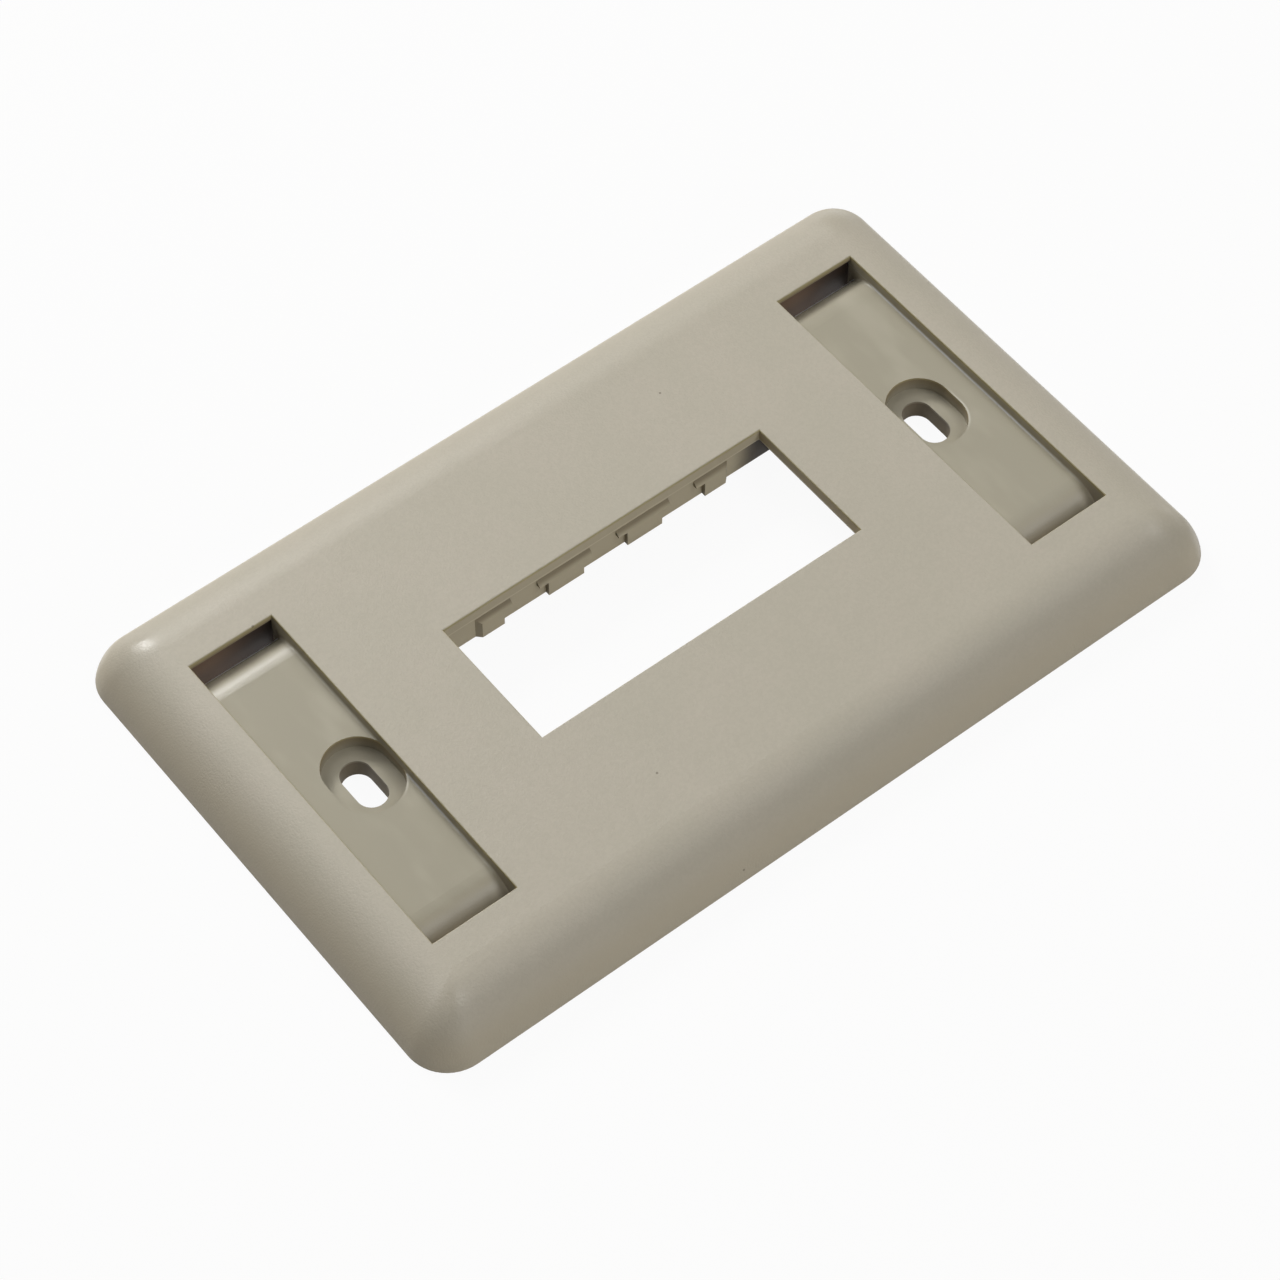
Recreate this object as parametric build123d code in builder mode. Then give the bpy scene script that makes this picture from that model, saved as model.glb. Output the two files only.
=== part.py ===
from build123d import *
import os
from math import acos, radians, sin

# Data outlet cover plate: one injection-moulded single-gang plate, all sizes in millimetres.
# The plate lies on its back rim at z = 0. X runs along it, Y across it, and Z out of its face.

# Outline and crown
PLATE_LENGTH = 115.1
PLATE_WIDTH = 70.3
PLATE_HEIGHT = 6.9
CROWN_RADIUS = 8.15  # roll of the edge, from the flat face down to the back rim
RIM_CORNER_RADIUS = 5.4  # plan corners at the back rim
FACE_THICKNESS = 1.8
SHELL_WALL = 1.7

# Jack opening, with the deeper skirt behind it that carries the retaining tabs
OPENING_LENGTH = 46.8
OPENING_WIDTH = 18.7
SKIRT_SIDE_GAP = 0.35  # how far the skirt stands back from the long edges of the opening
SKIRT_END_GAP = 2.0  # the same at its short ends
SKIRT_WALL = 1.4
SKIRT_BOTTOM = 1.1

# Retaining tabs: a row along each long wall of the skirt, each with a wider bar at its top
TAB_COUNT = 4
TAB_WIDTH = 5.2
TAB_DEPTH = 0.62
TAB_DROP = 0.75  # from the underside of the face down to the top of the tabs
BAR_WIDTH = 7.8
BAR_HEIGHT = 0.8
TAB_ROW_LENGTH = 37.5  # the outer tabs end here, at a 45 degree face
TAB_RAMP = 0.6  # drop of their sloping tops, from the wall to the front

# Label recesses: a floor in a window at each end, rolled down where a label cover clips in
LABEL_SHIFT = 1.73  # from the screws outward to the middle of the window
LABEL_WIDTH = 11.5
LABEL_SIDE_MARGIN = 11.8  # from the long edges of the plate to the window
LABEL_DEPTH = 1.65
LABEL_FLOOR_THICKNESS = 1.5
LABEL_ROLL_REACH = 4.85  # length of each rolled end, seen from above
LABEL_ROLL_TURN = 62  # degrees
LABEL_ROLL_CLEARANCE = 0.3  # from the end of the roll to the short wall of the window
CLIP_POCKET_DEPTH = 0.5  # how far the clip pockets reach under the short walls
CLIP_LIP_THICKNESS = 0.8
RIB_WALL = 1.3
RIB_BOTTOM = 0.5

# Screw seats: slotted holes across the plate, in oblong counterbores
SCREW_SPACING = 83.34
SLOT_WIDTH = 3.9
SLOT_LENGTH = 6.9
SEAT_WIDTH = 8.3
SEAT_LENGTH = 10.9
SEAT_DEPTH = 2.0  # below the label floor
SEAT_WALL = 1.4
SLOT_BOTTOM = 0.5

EDGE_ROUND = 0.2  # moulded edges of the face around its openings
FLOOR_ROUND = 0.3  # inner corners along the label floors

# Levels and positions that follow from the sizes above
face_underside = PLATE_HEIGHT - FACE_THICKNESS
skirt_half_width = OPENING_WIDTH / 2 + SKIRT_SIDE_GAP
skirt_half_length = OPENING_LENGTH / 2 + SKIRT_END_GAP
tab_top = face_underside - TAB_DROP
tab_pitch = OPENING_LENGTH / TAB_COUNT
label_floor = PLATE_HEIGHT - LABEL_DEPTH
label_spacing = SCREW_SPACING + 2 * LABEL_SHIFT
label_length = PLATE_WIDTH - 2 * LABEL_SIDE_MARGIN
label_half_flat = label_length / 2 - LABEL_ROLL_CLEARANCE - LABEL_ROLL_REACH
label_roll = LABEL_ROLL_REACH / sin(radians(LABEL_ROLL_TURN))
label_under_roll = label_roll - LABEL_FLOOR_THICKNESS
pocket_length = label_length + 2 * CLIP_POCKET_DEPTH
seat_floor = label_floor - SEAT_DEPTH


def crowned_bar(plane, length, width, height, roll):
    """A long bar whose section rolls down at both sides from a flat top, and on below z = 0."""
    roll_centre = height - roll
    rim_angle = acos(max(-roll_centre, 0) / roll)
    half_flat = width / 2 - roll * sin(rim_angle)
    with BuildPart() as bar:
        with BuildSketch(plane):
            with BuildLine():
                right = CenterArc((half_flat, roll_centre), roll, 90, -90)
                left = CenterArc((-half_flat, roll_centre), roll, 90, 90)
                Line(left @ 0, right @ 0)
                Polyline(left @ 1, (-half_flat - roll, -roll), (half_flat + roll, -roll), right @ 1)
            make_face()
        extrude(amount=length / 2 + roll, both=True)
    return bar.part


def crowned_block(length, width, height, roll, corner):
    """Two crossed bars cut to what they share, with rounded corners, cut off at z = 0."""
    long_bar = crowned_bar(Plane.YZ, length, width, height, roll)
    cross_bar = crowned_bar(Plane.XZ, width, length, height, roll)
    with BuildPart() as block:
        add(long_bar)
        add(cross_bar, mode=Mode.INTERSECT)
        corners = edges().filter_by(Plane.XY, reverse=True)
        fillet(corners, corner)
        split(bisect_by=Plane.XY, keep=Keep.TOP)
    return block.part


outer = crowned_block(PLATE_LENGTH, PLATE_WIDTH, PLATE_HEIGHT, CROWN_RADIUS, RIM_CORNER_RADIUS)
hollow = crowned_block(
    PLATE_LENGTH - 2 * SHELL_WALL,
    PLATE_WIDTH - 2 * SHELL_WALL,
    face_underside,
    CROWN_RADIUS - SHELL_WALL,
    RIM_CORNER_RADIUS - SHELL_WALL,
)

with BuildPart() as cover_plate:
    # Hollow shell
    add(outer)
    add(hollow, mode=Mode.SUBTRACT)

    # Skirt behind the jack opening
    with BuildSketch(Plane.XY.offset(SKIRT_BOTTOM)):
        Rectangle(2 * (skirt_half_length + SKIRT_WALL), 2 * (skirt_half_width + SKIRT_WALL))
        Rectangle(2 * skirt_half_length, 2 * skirt_half_width, mode=Mode.SUBTRACT)
    extrude(amount=face_underside - SKIRT_BOTTOM)

    # Retaining tabs on both long walls
    for side in (1, -1):
        with BuildSketch(Plane.XY.offset(SKIRT_BOTTOM)):
            with Locations((0, side * (skirt_half_width - TAB_DEPTH / 2))):
                with GridLocations(tab_pitch, 1, TAB_COUNT, 1):
                    Rectangle(TAB_WIDTH, TAB_DEPTH)
        extrude(amount=tab_top - SKIRT_BOTTOM)
        with BuildSketch(Plane.XY.offset(tab_top - BAR_HEIGHT)):
            with Locations((0, side * (skirt_half_width - TAB_DEPTH / 2))):
                with GridLocations(tab_pitch, 1, TAB_COUNT, 1):
                    Rectangle(BAR_WIDTH, TAB_DEPTH)
        extrude(amount=BAR_HEIGHT)

    # Sloping tops of the tabs
    with BuildSketch(Plane.YZ):
        for side in (1, -1):
            wall = side * skirt_half_width
            front = side * (skirt_half_width - TAB_DEPTH)
            Polygon((wall, tab_top), (front, tab_top), (front, tab_top - TAB_RAMP), align=None)
    extrude(amount=skirt_half_length, both=True, mode=Mode.SUBTRACT)

    # 45 degree faces at the ends of each row of tabs
    with BuildSketch(Plane.XY.offset(SKIRT_BOTTOM)):
        for side in (1, -1):
            for end in (1, -1):
                wall = side * skirt_half_width
                front = side * (skirt_half_width - TAB_DEPTH)
                row_end = end * TAB_ROW_LENGTH / 2
                Polygon(
                    (row_end, wall),
                    (row_end - end * TAB_DEPTH, front),
                    (end * skirt_half_length, front),
                    (end * skirt_half_length, wall),
                    align=None,
                )
    extrude(amount=tab_top - SKIRT_BOTTOM, mode=Mode.SUBTRACT)

    # Jack opening through the face
    with BuildSketch(Plane.XY.offset(face_underside)):
        Rectangle(OPENING_LENGTH, OPENING_WIDTH)
    extrude(amount=FACE_THICKNESS, mode=Mode.SUBTRACT)

    # Label recesses: ribs around each, the window, the clip pockets and the rolled floor
    with BuildSketch(Plane.XY.offset(RIB_BOTTOM)):
        with GridLocations(label_spacing, 1, 2, 1):
            Rectangle(LABEL_WIDTH + 2 * RIB_WALL, pocket_length + 2 * RIB_WALL)
    extrude(amount=face_underside - RIB_BOTTOM)
    with BuildSketch(Plane.XY.offset(RIB_BOTTOM)):
        with GridLocations(label_spacing, 1, 2, 1):
            Rectangle(LABEL_WIDTH, pocket_length)
    extrude(amount=PLATE_HEIGHT - CLIP_LIP_THICKNESS - RIB_BOTTOM, mode=Mode.SUBTRACT)
    with BuildSketch(Plane.XY.offset(face_underside)):
        with GridLocations(label_spacing, 1, 2, 1):
            Rectangle(LABEL_WIDTH, label_length)
    extrude(amount=FACE_THICKNESS, mode=Mode.SUBTRACT)
    for end in (1, -1):
        with BuildSketch(Plane.YZ.offset(end * label_spacing / 2)):
            with BuildLine():
                right = (label_half_flat, label_floor - label_roll)
                left = (-label_half_flat, label_floor - label_roll)
                right_roll = CenterArc(right, label_roll, 90, -LABEL_ROLL_TURN)
                left_roll = CenterArc(left, label_roll, 90, LABEL_ROLL_TURN)
                right_under = CenterArc(right, label_under_roll, 90, -LABEL_ROLL_TURN)
                left_under = CenterArc(left, label_under_roll, 90, LABEL_ROLL_TURN)
                Line(left_roll @ 0, right_roll @ 0)
                Line(right_roll @ 1, right_under @ 1)
                Line(left_under @ 0, right_under @ 0)
                Line(left_roll @ 1, left_under @ 1)
            make_face()
        extrude(amount=LABEL_WIDTH / 2, both=True)

    # Rounded inner corners between the label floors and the long walls of the windows
    floor_corners = edges().filter_by(Axis.Y).filter_by_position(Axis.Z, label_floor, label_floor)
    fillet(floor_corners, FLOOR_ROUND)

    # Screw seats: boss, counterbore and slot
    with BuildSketch(Plane.XY.offset(seat_floor - SEAT_WALL)):
        with GridLocations(SCREW_SPACING, 1, 2, 1):
            SlotOverall(SEAT_LENGTH + 2 * SEAT_WALL, SEAT_WIDTH + 2 * SEAT_WALL, rotation=90)
    extrude(amount=label_floor - LABEL_FLOOR_THICKNESS - seat_floor + SEAT_WALL)
    with BuildSketch(Plane.XY.offset(SLOT_BOTTOM)):
        with GridLocations(SCREW_SPACING, 1, 2, 1):
            SlotOverall(SLOT_LENGTH + 2 * SEAT_WALL, SLOT_WIDTH + 2 * SEAT_WALL, rotation=90)
    extrude(amount=seat_floor - SLOT_BOTTOM)
    with BuildSketch(Plane.XY.offset(seat_floor)):
        with GridLocations(SCREW_SPACING, 1, 2, 1):
            SlotOverall(SEAT_LENGTH, SEAT_WIDTH, rotation=90)
    extrude(amount=SEAT_DEPTH, mode=Mode.SUBTRACT)
    with BuildSketch(Plane.XY.offset(SLOT_BOTTOM)):
        with GridLocations(SCREW_SPACING, 1, 2, 1):
            SlotOverall(SLOT_LENGTH, SLOT_WIDTH, rotation=90)
    extrude(amount=seat_floor - SLOT_BOTTOM, mode=Mode.SUBTRACT)

    # Room over the counterbores up to the walls of the windows, where the rounded corners stood
    with BuildSketch(Plane.XY.offset(label_floor)):
        with GridLocations(SCREW_SPACING, 1, 2, 1):
            SlotOverall(SEAT_LENGTH, SEAT_WIDTH, rotation=90)
        Rectangle(label_spacing - LABEL_WIDTH, PLATE_WIDTH, mode=Mode.SUBTRACT)
    extrude(amount=LABEL_DEPTH, mode=Mode.SUBTRACT)

    # Moulded roundings on the front edges of the windows and the opening
    face_edges = faces().sort_by(Axis.Z)[-1].inner_wires().edges()
    fillet(face_edges, EDGE_ROUND)

cover_plate.part.label = "cover_plate"

os.makedirs("parts", exist_ok=True)
export_step(cover_plate.part, "parts/cover_plate.step")
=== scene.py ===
from math import acos, radians, sin

import bpy
from mathutils import Matrix, Vector


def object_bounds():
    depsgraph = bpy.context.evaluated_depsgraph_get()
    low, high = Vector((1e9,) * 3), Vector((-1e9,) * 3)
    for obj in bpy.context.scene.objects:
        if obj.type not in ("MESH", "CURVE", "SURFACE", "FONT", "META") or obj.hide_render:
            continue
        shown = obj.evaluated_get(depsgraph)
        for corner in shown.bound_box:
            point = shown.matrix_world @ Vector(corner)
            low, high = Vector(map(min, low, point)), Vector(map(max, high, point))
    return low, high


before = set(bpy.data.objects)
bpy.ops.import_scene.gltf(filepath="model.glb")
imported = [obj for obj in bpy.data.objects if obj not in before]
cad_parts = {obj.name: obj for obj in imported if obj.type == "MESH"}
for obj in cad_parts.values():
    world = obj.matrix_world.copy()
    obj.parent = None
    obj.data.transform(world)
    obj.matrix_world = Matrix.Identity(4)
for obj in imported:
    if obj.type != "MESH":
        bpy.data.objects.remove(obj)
cad_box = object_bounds()

MM = 0.001

# Colours, as plain sRGB values
SKIN_WARM = (0.712, 0.683, 0.62)
SKIN_COOL = (0.703, 0.677, 0.612)
SKIN_GRAIN = (0.64, 0.612, 0.55)
# Painted warm shade on the lower crown
CROWN_SHADE_COLOUR = (0.715, 0.676, 0.590)
# Painted reflection along the far and right crown
RIM_REFLECTION_COLOUR = (0.84, 0.82, 0.77)
RECESS_COLOUR = (0.637, 0.613, 0.542)
FLOW_COLOUR = (0.668, 0.644, 0.573)
# Painted light on the near roll of each label floor
NEAR_ROLL_LIGHT_COLOUR = (0.652, 0.620, 0.537)
# Painted light in the near right corner of each label floor
ROLL_CORNER_LIGHT_COLOUR = (0.79, 0.76, 0.68)
# Painted highlight at the end of each rolled floor
ROLL_END_HIGHLIGHT_COLOUR = (0.97, 0.97, 0.98)
# Painted shade on the window walls, lighter on their long sides
WINDOW_WALL_SHADE_COLOUR = (0.58, 0.53, 0.43)
WINDOW_SIDE_SHADE_COLOUR = (0.64, 0.61, 0.53)
# Painted light along the tops of inner walls
WALL_TOP_LIGHT_COLOUR = (0.72, 0.665, 0.50)
# Painted shade in the clip pockets
POCKET_HALF_SHADE_COLOUR = (0.46, 0.37, 0.295)
POCKET_SHADE_COLOUR = (0.20, 0.14, 0.09)
# Painted shade on the counterbore walls
SEAT_WALL_SHADE_COLOUR = (0.60, 0.57, 0.50)
# Painted shade on the slot walls
SLOT_WALL_SHADE_COLOUR = (0.44, 0.39, 0.29)
# Painted shade on the opening walls, deeper on the end walls and tab ends
OPENING_WALL_SHADE_COLOUR = (0.70, 0.66, 0.56)
SIDE_WALL_SHADE_COLOUR = (0.60, 0.545, 0.43)
TAB_END_SHADE_COLOUR = (0.47, 0.43, 0.34)
TAB_SHADE_COLOUR = (0.54, 0.495, 0.40)
CORNER_SHADE_COLOUR = (0.20, 0.15, 0.07)
# Painted highlight along the parting line
PARTING_HIGHLIGHT_COLOUR = (0.80, 0.77, 0.68)
# Painted olive sheen on the rounded edges
EDGE_SHEEN_COLOUR = (0.66, 0.62, 0.46)
# Painted glint at the foot of the long walls
JOINT_GLINT_COLOUR = (0.80, 0.82, 0.87)
# Painted highlight on the near right rims of the counterbores
RIM_HIGHLIGHT_COLOUR = (0.86, 0.85, 0.80)
SPECK_COLOUR = (0.30, 0.25, 0.20)
TABLE_COLOUR = (0.80, 0.79, 0.78)

# Sizes of the plate in millimetres, as it was drawn
CROWN_RADIUS = 8.15
FACE_THICKNESS = 1.8
LABEL_DEPTH = 1.65
LABEL_SHIFT = 1.73
LABEL_HALF_WIDTH = 5.75
LABEL_SIDE_MARGIN = 11.8
SEAT_DEPTH = 2.0
SEAT_LENGTH, SEAT_WIDTH = 10.9, 8.3
SLOT_LENGTH, SLOT_WIDTH = 6.9, 3.9
SCREW_PLACE = 41.67
OPENING_HALF_LENGTH = 23.4
OPENING_HALF_WIDTH = 9.35

# Levels and places that follow from those sizes and from the frame
half_length, half_width, face_level = (edge / MM for edge in cad_box[1])
underside_level = face_level - FACE_THICKNESS
label_level = face_level - LABEL_DEPTH
seat_level = label_level - SEAT_DEPTH
label_centre = SCREW_PLACE + LABEL_SHIFT
label_half_length = half_width - LABEL_SIDE_MARGIN
crown_reach = CROWN_RADIUS * sin(acos(1 - face_level / CROWN_RADIUS))
crown_start = (half_length - crown_reach, half_width - crown_reach, face_level - CROWN_RADIUS)

# The four glossier corners: their middle lies this far out on the crown and below the face
POLISH_SHIFT = 2.7
POLISH_DROP = 0.7
polished_corner = (crown_start[0] + POLISH_SHIFT, crown_start[1] + POLISH_SHIFT, face_level - POLISH_DROP)

# Specks moulded into the skin: place and radius, in millimetres
SPECKS = (
    ((17.62, 21.08, 6.9), 0.2),
    ((-16.28, -21.21, 6.9), 0.2),
    ((-14.58, -34.72, 1.7), 0.2),
    ((-40.23, 23.4, 6.85), 0.22),
)

# How far the regions reach past the plate's own edges, so that they take in rounded edges and pockets
LABEL_REACH = (0.15, 0.7)
OPENING_REACH = (2.2, 0.5)
SKIN_DEPTHS = (0.25, 0.5)

# Where the painted light and shade begin and end, and where the glossier corners fade, in millimetres
POCKET_START = (0.1, 0.3)
POCKET_FADE = (-3.0, 4.0)
NEAR_ROLL_FADE = (18.8, 20.4)
ROLL_CORNER_ALONG = (3.4, 5.2)
ROLL_CORNER_NEAR = (19.8, 21.6)
TAB_TOP_FADE = (3.7, 4.2)
DARK_CORNER_ALONG = (19.0, 23.6)
DARK_CORNER_ACROSS = (8.0, 9.0)
JOINT_FADE = (-18.0, -8.0)
JOINT_START = -3.0
# Painted highlight round the counterbore rims
RIM_HIGHLIGHT_FADE = (0.08, 0.35)
RIM_HIGHLIGHT_SIDE_FADE = (2.0, 6.0)
RIM_HIGHLIGHT_ARC_FADE = (1.6, 3.8)
POLISH_FADE = (0.8, 3.8)

# Thin bands by height of the painted edge sheen, parting-line highlight and joint glint: middle, from the
# face, its underside or the label floor, and half height
EDGE_BAND = (-0.13, 0.1)
PARTING_BAND = (0.1, 0.1)
JOINT_BAND = (0.08, 0.06)

# The painted highlight at the end of each rolled floor: its start, its height and half height, and how far it
# faces up
ROLL_END_START = 22.2
ROLL_END_BAND = (2.8, 0.75)
ROLL_END_TILT = (0.58, 0.14)

# How far the painted light strips reach down from the tops of the walls
WINDOW_TOP_DEPTH = 0.75
SEAT_TOP_DEPTH = 0.4

# How strongly each painted mark covers the colour below it; grain and specks are the plastic's own, the rest
# painted light and shade
GRAIN_SHARE = 0.2
CROWN_SHADE_SHARE = 0.9
RIM_REFLECTION_SHARE = 0.6
WALL_TOP_LIGHT_SHARE = 0.8
PARTING_HIGHLIGHT_SHARE = 0.6
OPENING_TOP_LIGHT_SHARE = 0.6
EDGE_SHEEN_SHARE = 0.75
JOINT_GLINT_SHARE = 0.32
RIM_HIGHLIGHT_SHARE = 0.55
SPECK_SHARE = 0.55

# Gloss and relief
SMOOTH_ROUGHNESS = 0.34
TEXTURE_ROUGHNESS = 0.2
DRIFT_ROUGHNESS = 0.04
WALL_ROUGHNESS = 0.28
POLISH_GAIN = 0.24
SMOOTH_RELIEF = 0.2
RELIEF_STRENGTH = 0.8
RELIEF_HEIGHT = 0.05

# Camera, solved from the photograph's straight edges
CAMERA_PLACE = Vector((-169.42, -215.77, 387.99)) * MM
CAMERA_AIM = Vector((-6.54, -5.75, 6.9)) * MM
CAMERA_ROLL = radians(-0.49)
CAMERA_LENS = 114.05
CAMERA_SENSOR = 36.0
CAMERA_CLIP = 0.01

# Table and air, in metres and shares of white
TABLE_HALF_SIZE = 4.0
TABLE_GAP = 0.05 * MM
TABLE_GLOW_SHARE = 0.94
AIR_LIGHT = 0.03


def linear(colour):
    """An sRGB colour as the linear colour that shaders take."""
    parts = [c / 12.92 if c <= 0.04045 else ((c + 0.055) / 1.055) ** 2.4 for c in colour]
    return (*parts, 1.0)


class Shading:
    """Adds nodes to one tree and joins them, so that a material reads from top to bottom."""

    def __init__(self, tree):
        self.tree = tree

    def feed(self, socket, value):
        if isinstance(value, bpy.types.NodeSocket):
            self.tree.links.new(value, socket)
        else:
            socket.default_value = value

    def node(self, kind, settings=None, **inputs):
        made = self.tree.nodes.new(kind)
        for name, value in (settings or {}).items():
            setattr(made, name, value)
        for name, value in inputs.items():
            self.feed(made.inputs[name.replace("_", " ")], value)
        return made

    def math(self, operation, *values):
        made = self.node("ShaderNodeMath", {"operation": operation})
        for socket, value in zip(made.inputs, values):
            self.feed(socket, value)
        return made.outputs[0]

    def product(self, first, *others):
        for other in others:
            first = self.math("MULTIPLY", first, other)
        return first

    def less(self, first, second):
        return self.math("SUBTRACT", first, second)

    def inverse(self, mask):
        return self.less(1.0, mask)

    def either(self, first, second):
        return self.math("MAXIMUM", first, second)

    def above(self, value, level):
        return self.math("GREATER_THAN", value, level)

    def below(self, value, level):
        return self.math("LESS_THAN", value, level)

    def within(self, value, middle, reach):
        return self.math("COMPARE", value, middle, reach)

    def smooth(self, value, low, high):
        """0 below low and 1 above high, with a soft step between."""
        made = self.node("ShaderNodeMapRange", {"interpolation_type": "SMOOTHSTEP"}, Value=value)
        made.inputs["From Min"].default_value = low
        made.inputs["From Max"].default_value = high
        return made.outputs["Result"]

    def blend(self, factor, first, second):
        """Second colour over first, by a mask or a plain factor."""
        made = self.node("ShaderNodeMix", {"data_type": "RGBA"})
        for index, value in ((0, factor), (6, first), (7, second)):
            self.feed(made.inputs[index], value)
        return made.outputs[2]

    def noise(self, vector, scale, detail, roughness):
        made = self.node("ShaderNodeTexNoise", Vector=vector, Scale=scale, Detail=detail, Roughness=roughness)
        return made.outputs["Fac"]

    def distance(self, first, second):
        made = self.node("ShaderNodeVectorMath", {"operation": "DISTANCE"}, Vector=first)
        made.inputs[1].default_value = second
        return made.outputs["Value"]


def new_material(name):
    material = bpy.data.materials.new(name)
    material.use_nodes = True
    material.node_tree.nodes.clear()
    return material, Shading(material.node_tree)


def finish_material(shading, shader):
    output = shading.node("ShaderNodeOutputMaterial")
    shading.tree.links.new(shader.outputs[0], output.inputs["Surface"])


class PlateSurface:
    """Places on the plate, in millimetres, and masks of its main regions."""

    def __init__(self, shading):
        self.metres = shading.node("ShaderNodeTexCoord").outputs["Object"]
        scaled = shading.node(
            "ShaderNodeVectorMath", {"operation": "SCALE"}, Vector=self.metres, Scale=1 / MM
        )
        self.place = scaled.outputs["Vector"]
        self.x, self.y, self.z = shading.node("ShaderNodeSeparateXYZ", Vector=self.place).outputs
        self.along = shading.math("ABSOLUTE", self.x)
        self.across = shading.math("ABSOLUTE", self.y)
        self.nearness = shading.math("MULTIPLY", self.y, -1.0)

        normal = shading.node("ShaderNodeNewGeometry").outputs["Normal"]
        self.normal_x, self.normal_y, normal_z = shading.node("ShaderNodeSeparateXYZ", Vector=normal).outputs
        self.facing_up = shading.math("ABSOLUTE", normal_z)
        self.upright = shading.inverse(shading.smooth(self.facing_up, 0.25, 0.6))
        self.facing_side = shading.smooth(shading.math("ABSOLUTE", self.normal_x), 0.5, 0.9)

        # Distances within one end of the plate, from the middle of its window and of its screw seat
        self.end = shading.math("SIGN", self.x)
        self.label_x = shading.less(self.x, shading.product(self.end, label_centre))
        self.screw_x = shading.less(self.x, shading.product(self.end, SCREW_PLACE))
        self.counterbore = self.slot_distance(shading, SEAT_LENGTH, SEAT_WIDTH)
        self.slot = self.slot_distance(shading, SLOT_LENGTH, SLOT_WIDTH)

        self.behind_skin = self.mask_behind_skin(shading)
        label_offset = shading.math("ABSOLUTE", shading.less(self.along, label_centre))
        self.in_label = shading.product(
            shading.below(label_offset, LABEL_HALF_WIDTH + LABEL_REACH[0]),
            shading.below(self.across, label_half_length + LABEL_REACH[1]),
        )
        self.in_opening = shading.product(
            shading.below(self.along, OPENING_HALF_LENGTH + OPENING_REACH[0]),
            shading.below(self.across, OPENING_HALF_WIDTH + OPENING_REACH[1]),
        )
        self.tab_or_wall = shading.product(shading.either(self.upright, self.behind_skin), self.in_opening)

    def slot_distance(self, shading, length, width):
        """How far a point lies outside an oblong round a screw, that runs across the plate."""
        off_centre = shading.less(self.along, SCREW_PLACE)
        past_end = shading.either(shading.less(self.across, (length - width) / 2), 0.0)
        square = shading.math("MULTIPLY_ADD", past_end, past_end, shading.product(off_centre, off_centre))
        return shading.less(shading.math("SQRT", square), width / 2)

    def mask_behind_skin(self, shading):
        """1 deeper than the textured skin of the face and crown, seen from the middle line of the roll."""
        past_flat = shading.node(
            "ShaderNodeCombineXYZ",
            X=shading.either(shading.less(self.along, crown_start[0]), 0.0),
            Y=shading.either(shading.less(self.across, crown_start[1]), 0.0),
            Z=shading.less(self.z, crown_start[2]),
        )
        from_roll = shading.distance(past_flat.outputs[0], (0.0, 0.0, 0.0))
        shallow, deep = SKIN_DEPTHS
        return shading.inverse(shading.smooth(from_roll, CROWN_RADIUS - deep, CROWN_RADIUS - shallow))


def wall_top(shading, z, level, depth):
    """Mask of the strip along the top of an upright wall that ends at the given level, for a painted light
    strip.
    """
    below = shading.less(level, z)
    fade = shading.product(shading.smooth(below, depth * 0.4, depth), WALL_TOP_LIGHT_SHARE)
    return shading.product(shading.less(WALL_TOP_LIGHT_SHARE, fade), shading.above(below, -0.02))


def skin_colour_and_light(shading, plate):
    """Face and crown: slow warm and cool mottling, fine grain, painted warm shade on the lower crown and a
    painted reflection along its far and right edges.
    """
    mottle = shading.noise(plate.metres, 110.0, 3.0, 0.5)
    skin = shading.blend(shading.smooth(mottle, 0.3, 0.7), linear(SKIN_WARM), linear(SKIN_COOL))
    grain = shading.smooth(shading.noise(plate.metres, 2400.0, 2.0, 0.6), 0.35, 0.65)
    skin = shading.blend(shading.product(grain, GRAIN_SHARE), skin, linear(SKIN_GRAIN))
    # Painted shade: the crown turns darker and warmer as it faces away from up
    lower_crown_shade = shading.inverse(shading.smooth(plate.facing_up, 0.4, 0.95))
    skin = shading.blend(shading.product(lower_crown_shade, CROWN_SHADE_SHARE), skin, linear(CROWN_SHADE_COLOUR))
    # Painted reflection: a light band low on the crown where it faces the far and right sides
    above_rim = shading.smooth(plate.facing_up, 0.5, 0.72)
    rim_band = shading.less(shading.smooth(plate.facing_up, 0.15, 0.35), above_rim)
    outward = shading.either(plate.normal_x, plate.normal_y)
    rim_reflection = shading.product(rim_band, shading.smooth(outward, 0.45, 0.75), RIM_REFLECTION_SHARE)
    return shading.blend(rim_reflection, skin, linear(RIM_REFLECTION_COLOUR))


def smooth_colour_and_roll_light(shading, plate, flow_tone):
    """Label floors and back: smoother plastic with flow marks, and painted light on the near roll of each
    floor, most in its corner by the right long wall.
    """
    smooth_plastic = shading.blend(flow_tone, linear(RECESS_COLOUR), linear(FLOW_COLOUR))
    # Painted light: the near roll is lifted lighter, most in its corner by the right long wall
    near_roll_light = shading.product(shading.smooth(plate.nearness, *NEAR_ROLL_FADE), plate.in_label)
    roll_corner_light = shading.product(
        shading.smooth(plate.label_x, *ROLL_CORNER_ALONG), shading.smooth(plate.nearness, *ROLL_CORNER_NEAR)
    )
    roll_light_tone = shading.blend(roll_corner_light, linear(NEAR_ROLL_LIGHT_COLOUR), linear(ROLL_CORNER_LIGHT_COLOUR))
    return shading.blend(near_roll_light, smooth_plastic, roll_light_tone)


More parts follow.
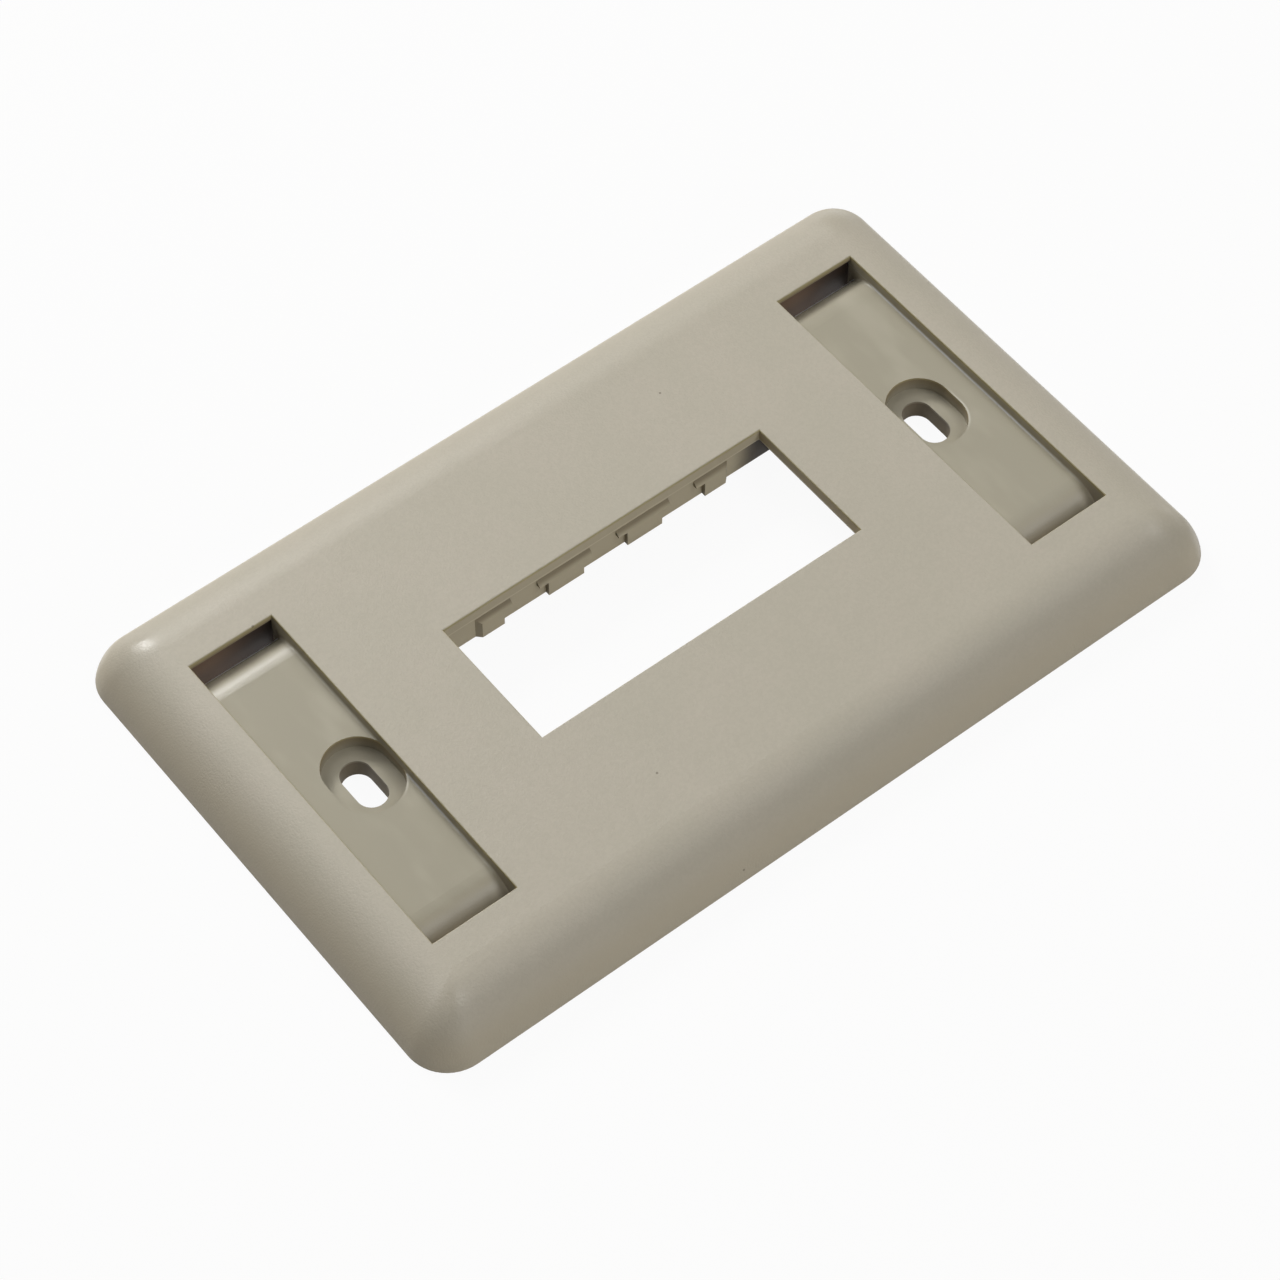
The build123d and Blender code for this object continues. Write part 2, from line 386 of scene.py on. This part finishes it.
def paint_window_walls(shading, plate, colour):
    """Painted shade on the walls of the windows, a little lighter on their long sides, and deeper shade in
    the clip pockets under their short sides, darkest towards the right; a painted light strip runs along the
    wall tops.
    """
    # Painted shade on walls and pockets, with a painted light strip at the top
    pocket = shading.smooth(shading.less(plate.across, label_half_length), *POCKET_START)
    pocket_shade_tone = shading.blend(
        shading.smooth(plate.label_x, *POCKET_FADE), linear(POCKET_HALF_SHADE_COLOUR), linear(POCKET_SHADE_COLOUR)
    )
    window_shade_tone = shading.blend(plate.facing_side, linear(WINDOW_WALL_SHADE_COLOUR), linear(WINDOW_SIDE_SHADE_COLOUR))
    tone = shading.blend(pocket, window_shade_tone, pocket_shade_tone)
    window_top = wall_top(shading, plate.z, face_level, WINDOW_TOP_DEPTH)
    tone = shading.blend(window_top, tone, linear(WALL_TOP_LIGHT_COLOUR))
    return shading.blend(shading.product(plate.upright, plate.in_label), colour, tone)


def paint_screw_walls(shading, plate, colour):
    """Painted shade on the walls of the counterbores and slots, with painted light strips along their tops.
    """
    # Painted shade on the counterbore and slot walls, with painted light strips at their tops
    height = shading.smooth(plate.z, seat_level + 0.2, label_level - 0.4)
    tone = shading.blend(height, linear(SEAT_WALL_SHADE_COLOUR), linear(WINDOW_WALL_SHADE_COLOUR))
    seat_top = wall_top(shading, plate.z, label_level, SEAT_TOP_DEPTH)
    tone = shading.blend(seat_top, tone, linear(WALL_TOP_LIGHT_COLOUR))
    slot_top = wall_top(shading, plate.z, seat_level, SEAT_TOP_DEPTH)
    slot_shade_tone = shading.blend(slot_top, linear(SLOT_WALL_SHADE_COLOUR), linear(SEAT_WALL_SHADE_COLOUR))
    tone = shading.blend(shading.below(plate.slot, 0.2), tone, slot_shade_tone)
    on_wall = shading.below(shading.math("ABSOLUTE", plate.counterbore), 0.15)
    by_screw = shading.either(on_wall, shading.below(plate.counterbore, 0.0))
    by_screw = shading.product(by_screw, shading.below(plate.z, label_level))
    return shading.blend(shading.product(plate.upright, by_screw), colour, tone)


def paint_opening(shading, plate, colour):
    """Painted shade on the walls of the jack opening, deeper on the end walls and the tab ends, on the tab
    tops and in the far right corner, with a painted highlight along the parting line and painted light along
    the top.
    """
    # Painted shade: end walls and tab ends darker than the long walls
    below_face = shading.below(plate.z, underside_level - 0.1)
    side_shade_tone = shading.blend(below_face, linear(SIDE_WALL_SHADE_COLOUR), linear(TAB_END_SHADE_COLOUR))
    tone = shading.blend(plate.facing_side, linear(OPENING_WALL_SHADE_COLOUR), side_shade_tone)
    tab_shade = shading.product(shading.smooth(plate.z, *TAB_TOP_FADE), shading.above(plate.facing_up, 0.4))
    tone = shading.blend(shading.product(tab_shade, below_face), tone, linear(TAB_SHADE_COLOUR))
    corner = shading.product(
        shading.smooth(plate.x, *DARK_CORNER_ALONG), shading.smooth(plate.y, *DARK_CORNER_ACROSS), below_face
    )
    tone = shading.blend(corner, tone, linear(CORNER_SHADE_COLOUR))
    # Painted highlight along the parting line
    rise, reach = PARTING_BAND
    parting_highlight = shading.product(shading.within(plate.z, underside_level + rise, reach), PARTING_HIGHLIGHT_SHARE)
    tone = shading.blend(parting_highlight, tone, linear(PARTING_HIGHLIGHT_COLOUR))
    # Painted light along the top of the opening walls
    opening_top_light = shading.product(shading.smooth(plate.z, face_level - 0.5, face_level - 0.2), OPENING_TOP_LIGHT_SHARE)
    tone = shading.blend(opening_top_light, tone, linear(WALL_TOP_LIGHT_COLOUR))
    return shading.blend(plate.tab_or_wall, colour, tone)


def paint_edge_sheen(shading, plate, colour):
    """Painted olive sheen along the rounded edges of the windows and of the opening."""
    rise, reach = EDGE_BAND
    # Painted sheen along the rounded top edges
    edge = shading.within(plate.z, face_level + rise, reach)
    edge = shading.product(edge, shading.either(plate.in_label, plate.in_opening), EDGE_SHEEN_SHARE)
    return shading.blend(edge, colour, linear(EDGE_SHEEN_COLOUR))


def paint_floor_glints(shading, plate, colour):
    """Painted highlights: a light line at the end of each rolled floor, and a glint in the rounded corner
    along the foot of a long wall.
    """
    # Painted highlight along the steep end of each rolled floor
    roll_end_highlight = shading.product(
        shading.above(plate.across, ROLL_END_START),
        plate.in_label,
        shading.within(plate.z, *ROLL_END_BAND),
        shading.within(plate.facing_up, *ROLL_END_TILT),
    )
    colour = shading.blend(roll_end_highlight, colour, linear(ROLL_END_HIGHLIGHT_COLOUR))
    # Painted glint in the rounded corner at the foot of the right long walls
    rise, reach = JOINT_BAND
    joint_glint = shading.product(
        shading.within(plate.z, label_level + rise, reach),
        plate.in_label,
        shading.below(plate.normal_x, -0.3),
        shading.either(plate.end, shading.below(plate.y, JOINT_START)),
        shading.smooth(plate.y, *JOINT_FADE),
        JOINT_GLINT_SHARE,
    )
    return shading.blend(joint_glint, colour, linear(JOINT_GLINT_COLOUR))


def paint_rim_highlights(shading, plate, colour):
    """Painted highlight round the near right side of each counterbore rim."""
    # Painted highlight along the near right part of the counterbore rim
    line = shading.inverse(shading.smooth(plate.counterbore, *RIM_HIGHLIGHT_FADE))
    rim_highlight = shading.product(
        line,
        shading.within(plate.z, label_level, 0.05),
        shading.above(plate.counterbore, 0.0),
        shading.smooth(shading.less(plate.screw_x, plate.y), *RIM_HIGHLIGHT_SIDE_FADE),
        shading.smooth(plate.screw_x, *RIM_HIGHLIGHT_ARC_FADE),
        RIM_HIGHLIGHT_SHARE,
    )
    return shading.blend(rim_highlight, colour, linear(RIM_HIGHLIGHT_COLOUR))


def paint_specks(shading, plate, colour):
    for spot, radius in SPECKS:
        away = shading.distance(plate.place, spot)
        speck = shading.inverse(shading.smooth(away, radius * 0.5, radius))
        colour = shading.blend(shading.product(speck, SPECK_SHARE), colour, linear(SPECK_COLOUR))
    return colour


def plastic_roughness(shading, plate, textured, flow_tone):
    """Duller where the mould texture is, and on the inner walls, with glossier corners of the crown."""
    drift = shading.product(shading.less(flow_tone, 0.5), DRIFT_ROUGHNESS)
    base = shading.math("MULTIPLY_ADD", textured, TEXTURE_ROUGHNESS, SMOOTH_ROUGHNESS)
    folded = shading.node("ShaderNodeCombineXYZ", X=plate.along, Y=plate.across, Z=plate.z).outputs[0]
    polish = shading.inverse(shading.smooth(shading.distance(folded, polished_corner), *POLISH_FADE))
    roughness = shading.less(shading.math("ADD", base, drift), shading.product(polish, POLISH_GAIN))
    inner_wall = shading.either(shading.product(plate.upright, plate.in_label), plate.tab_or_wall)
    return shading.math("ADD", roughness, shading.product(inner_wall, WALL_ROUGHNESS))


def moulded_plate_plastic():
    """Warm grey plastic: fine texture on the face and crown, smoother in the recesses and behind."""
    material, shading = new_material("moulded_plate_plastic")
    plate = PlateSurface(shading)

    flow = shading.node("ShaderNodeMapping", Vector=plate.metres)
    flow.inputs["Scale"].default_value = (1.0, 0.35, 1.0)
    flow_tone = shading.smooth(shading.noise(flow.outputs[0], 260.0, 2.0, 0.5), 0.45, 0.75)

    # Much of this colour is painted light and shade rather than the plastic's own colour
    colour = shading.blend(
        plate.behind_skin, skin_colour_and_light(shading, plate), smooth_colour_and_roll_light(shading, plate, flow_tone)
    )
    painters = (
        paint_window_walls,
        paint_screw_walls,
        paint_opening,
        paint_edge_sheen,
        paint_floor_glints,
        paint_rim_highlights,
        paint_specks,
    )
    for paint in painters:
        colour = paint(shading, plate, colour)

    textured = shading.inverse(plate.behind_skin)
    pits = shading.noise(plate.metres, 3800.0, 2.0, 0.55)
    relief = shading.math("MULTIPLY_ADD", textured, 1.0 - SMOOTH_RELIEF, SMOOTH_RELIEF)
    bump = shading.node(
        "ShaderNodeBump",
        Strength=RELIEF_STRENGTH,
        Distance=RELIEF_HEIGHT * MM,
        Height=shading.product(pits, relief),
    )
    plastic = shading.node(
        "ShaderNodeBsdfPrincipled",
        Base_Color=colour,
        Roughness=plastic_roughness(shading, plate, textured, flow_tone),
        Normal=bump.outputs["Normal"],
    )
    finish_material(shading, plastic)
    return material


def white_table():
    """Pale table that shows white to the camera and still keeps the plate's shadow."""
    material, shading = new_material("white_table")
    rays = shading.node("ShaderNodeLightPath")
    seen = shading.either(rays.outputs["Is Camera Ray"], rays.outputs["Is Glossy Ray"])
    paper = shading.node("ShaderNodeBsdfDiffuse", Color=linear(TABLE_COLOUR))
    glow = shading.node("ShaderNodeEmission", Color=(1.0, 1.0, 1.0, 1.0), Strength=1.0)
    mixed = shading.node("ShaderNodeMixShader")
    shaders = (shading.product(seen, TABLE_GLOW_SHARE), paper.outputs[0], glow.outputs[0])
    for socket, value in zip(mixed.inputs, shaders):
        shading.feed(socket, value)
    finish_material(shading, mixed)
    return material


def lay_table():
    """The table lies just below the plate, so that the back rim and it don't share a plane."""
    size, level = TABLE_HALF_SIZE, -TABLE_GAP
    corners = [(-size, -size, level), (size, -size, level), (size, size, level), (-size, size, level)]
    mesh = bpy.data.meshes.new("table")
    mesh.from_pydata(corners, [], [(0, 1, 2, 3)])
    mesh.materials.append(white_table())
    table = bpy.data.objects.new("table", mesh)
    bpy.context.collection.objects.link(table)


def soft_lamp(name, place, width, height, power):
    """Rectangular lamp that shines at the middle of the plate."""
    lamp = bpy.data.lights.new(name, "AREA")
    lamp.shape = "RECTANGLE"
    lamp.size = width
    lamp.size_y = height
    lamp.energy = power
    holder = bpy.data.objects.new(name, lamp)
    holder.location = place
    holder.rotation_euler = (-Vector(place)).to_track_quat("-Z", "Y").to_euler()
    bpy.context.collection.objects.link(holder)


def light_studio():
    world = bpy.data.worlds.new("studio")
    world.use_nodes = True
    world.node_tree.nodes.clear()
    bpy.context.scene.world = world
    shading = Shading(world.node_tree)
    rays = shading.node("ShaderNodeLightPath")
    strength = shading.math("MULTIPLY_ADD", rays.outputs["Is Camera Ray"], 1.0 - AIR_LIGHT, AIR_LIGHT)
    air = shading.node("ShaderNodeBackground", Color=(1.0, 1.0, 1.0, 1.0), Strength=strength)
    output = shading.node("ShaderNodeOutputWorld")
    shading.tree.links.new(air.outputs[0], output.inputs["Surface"])
    soft_lamp("key_softbox", (1.2, 0.24, 1.5), 1.4, 1.2, 3.9)
    soft_lamp("window_softbox", (-0.42, 0.7, 1.13), 1.0, 0.9, 5.4)
    soft_lamp("back_softbox", (0.04, 0.72, 0.53), 0.34, 0.22, 5.3)
    soft_lamp("near_softbox", (0.2, -1.6, 0.7), 1.0, 0.6, 7.8)
    soft_lamp("high_softbox", (0.55, -0.6, 1.35), 0.6, 0.6, 5.3)


def place_camera():
    camera = bpy.data.objects.new("camera", bpy.data.cameras.new("camera"))
    camera.data.lens = CAMERA_LENS
    camera.data.sensor_width = CAMERA_SENSOR
    camera.data.clip_start = CAMERA_CLIP
    turn = (CAMERA_AIM - CAMERA_PLACE).to_track_quat("-Z", "Y").to_matrix().to_4x4()
    camera.matrix_world = Matrix.Translation(CAMERA_PLACE) @ turn @ Matrix.Rotation(CAMERA_ROLL, 4, "Z")
    bpy.context.collection.objects.link(camera)
    bpy.context.scene.camera = camera


def dress_plate():
    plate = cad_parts["cover_plate"]
    for slot in plate.material_slots:
        slot.material = moulded_plate_plastic()


bpy.context.scene.view_settings.view_transform = "Standard"
dress_plate()
lay_table()
light_studio()
place_camera()
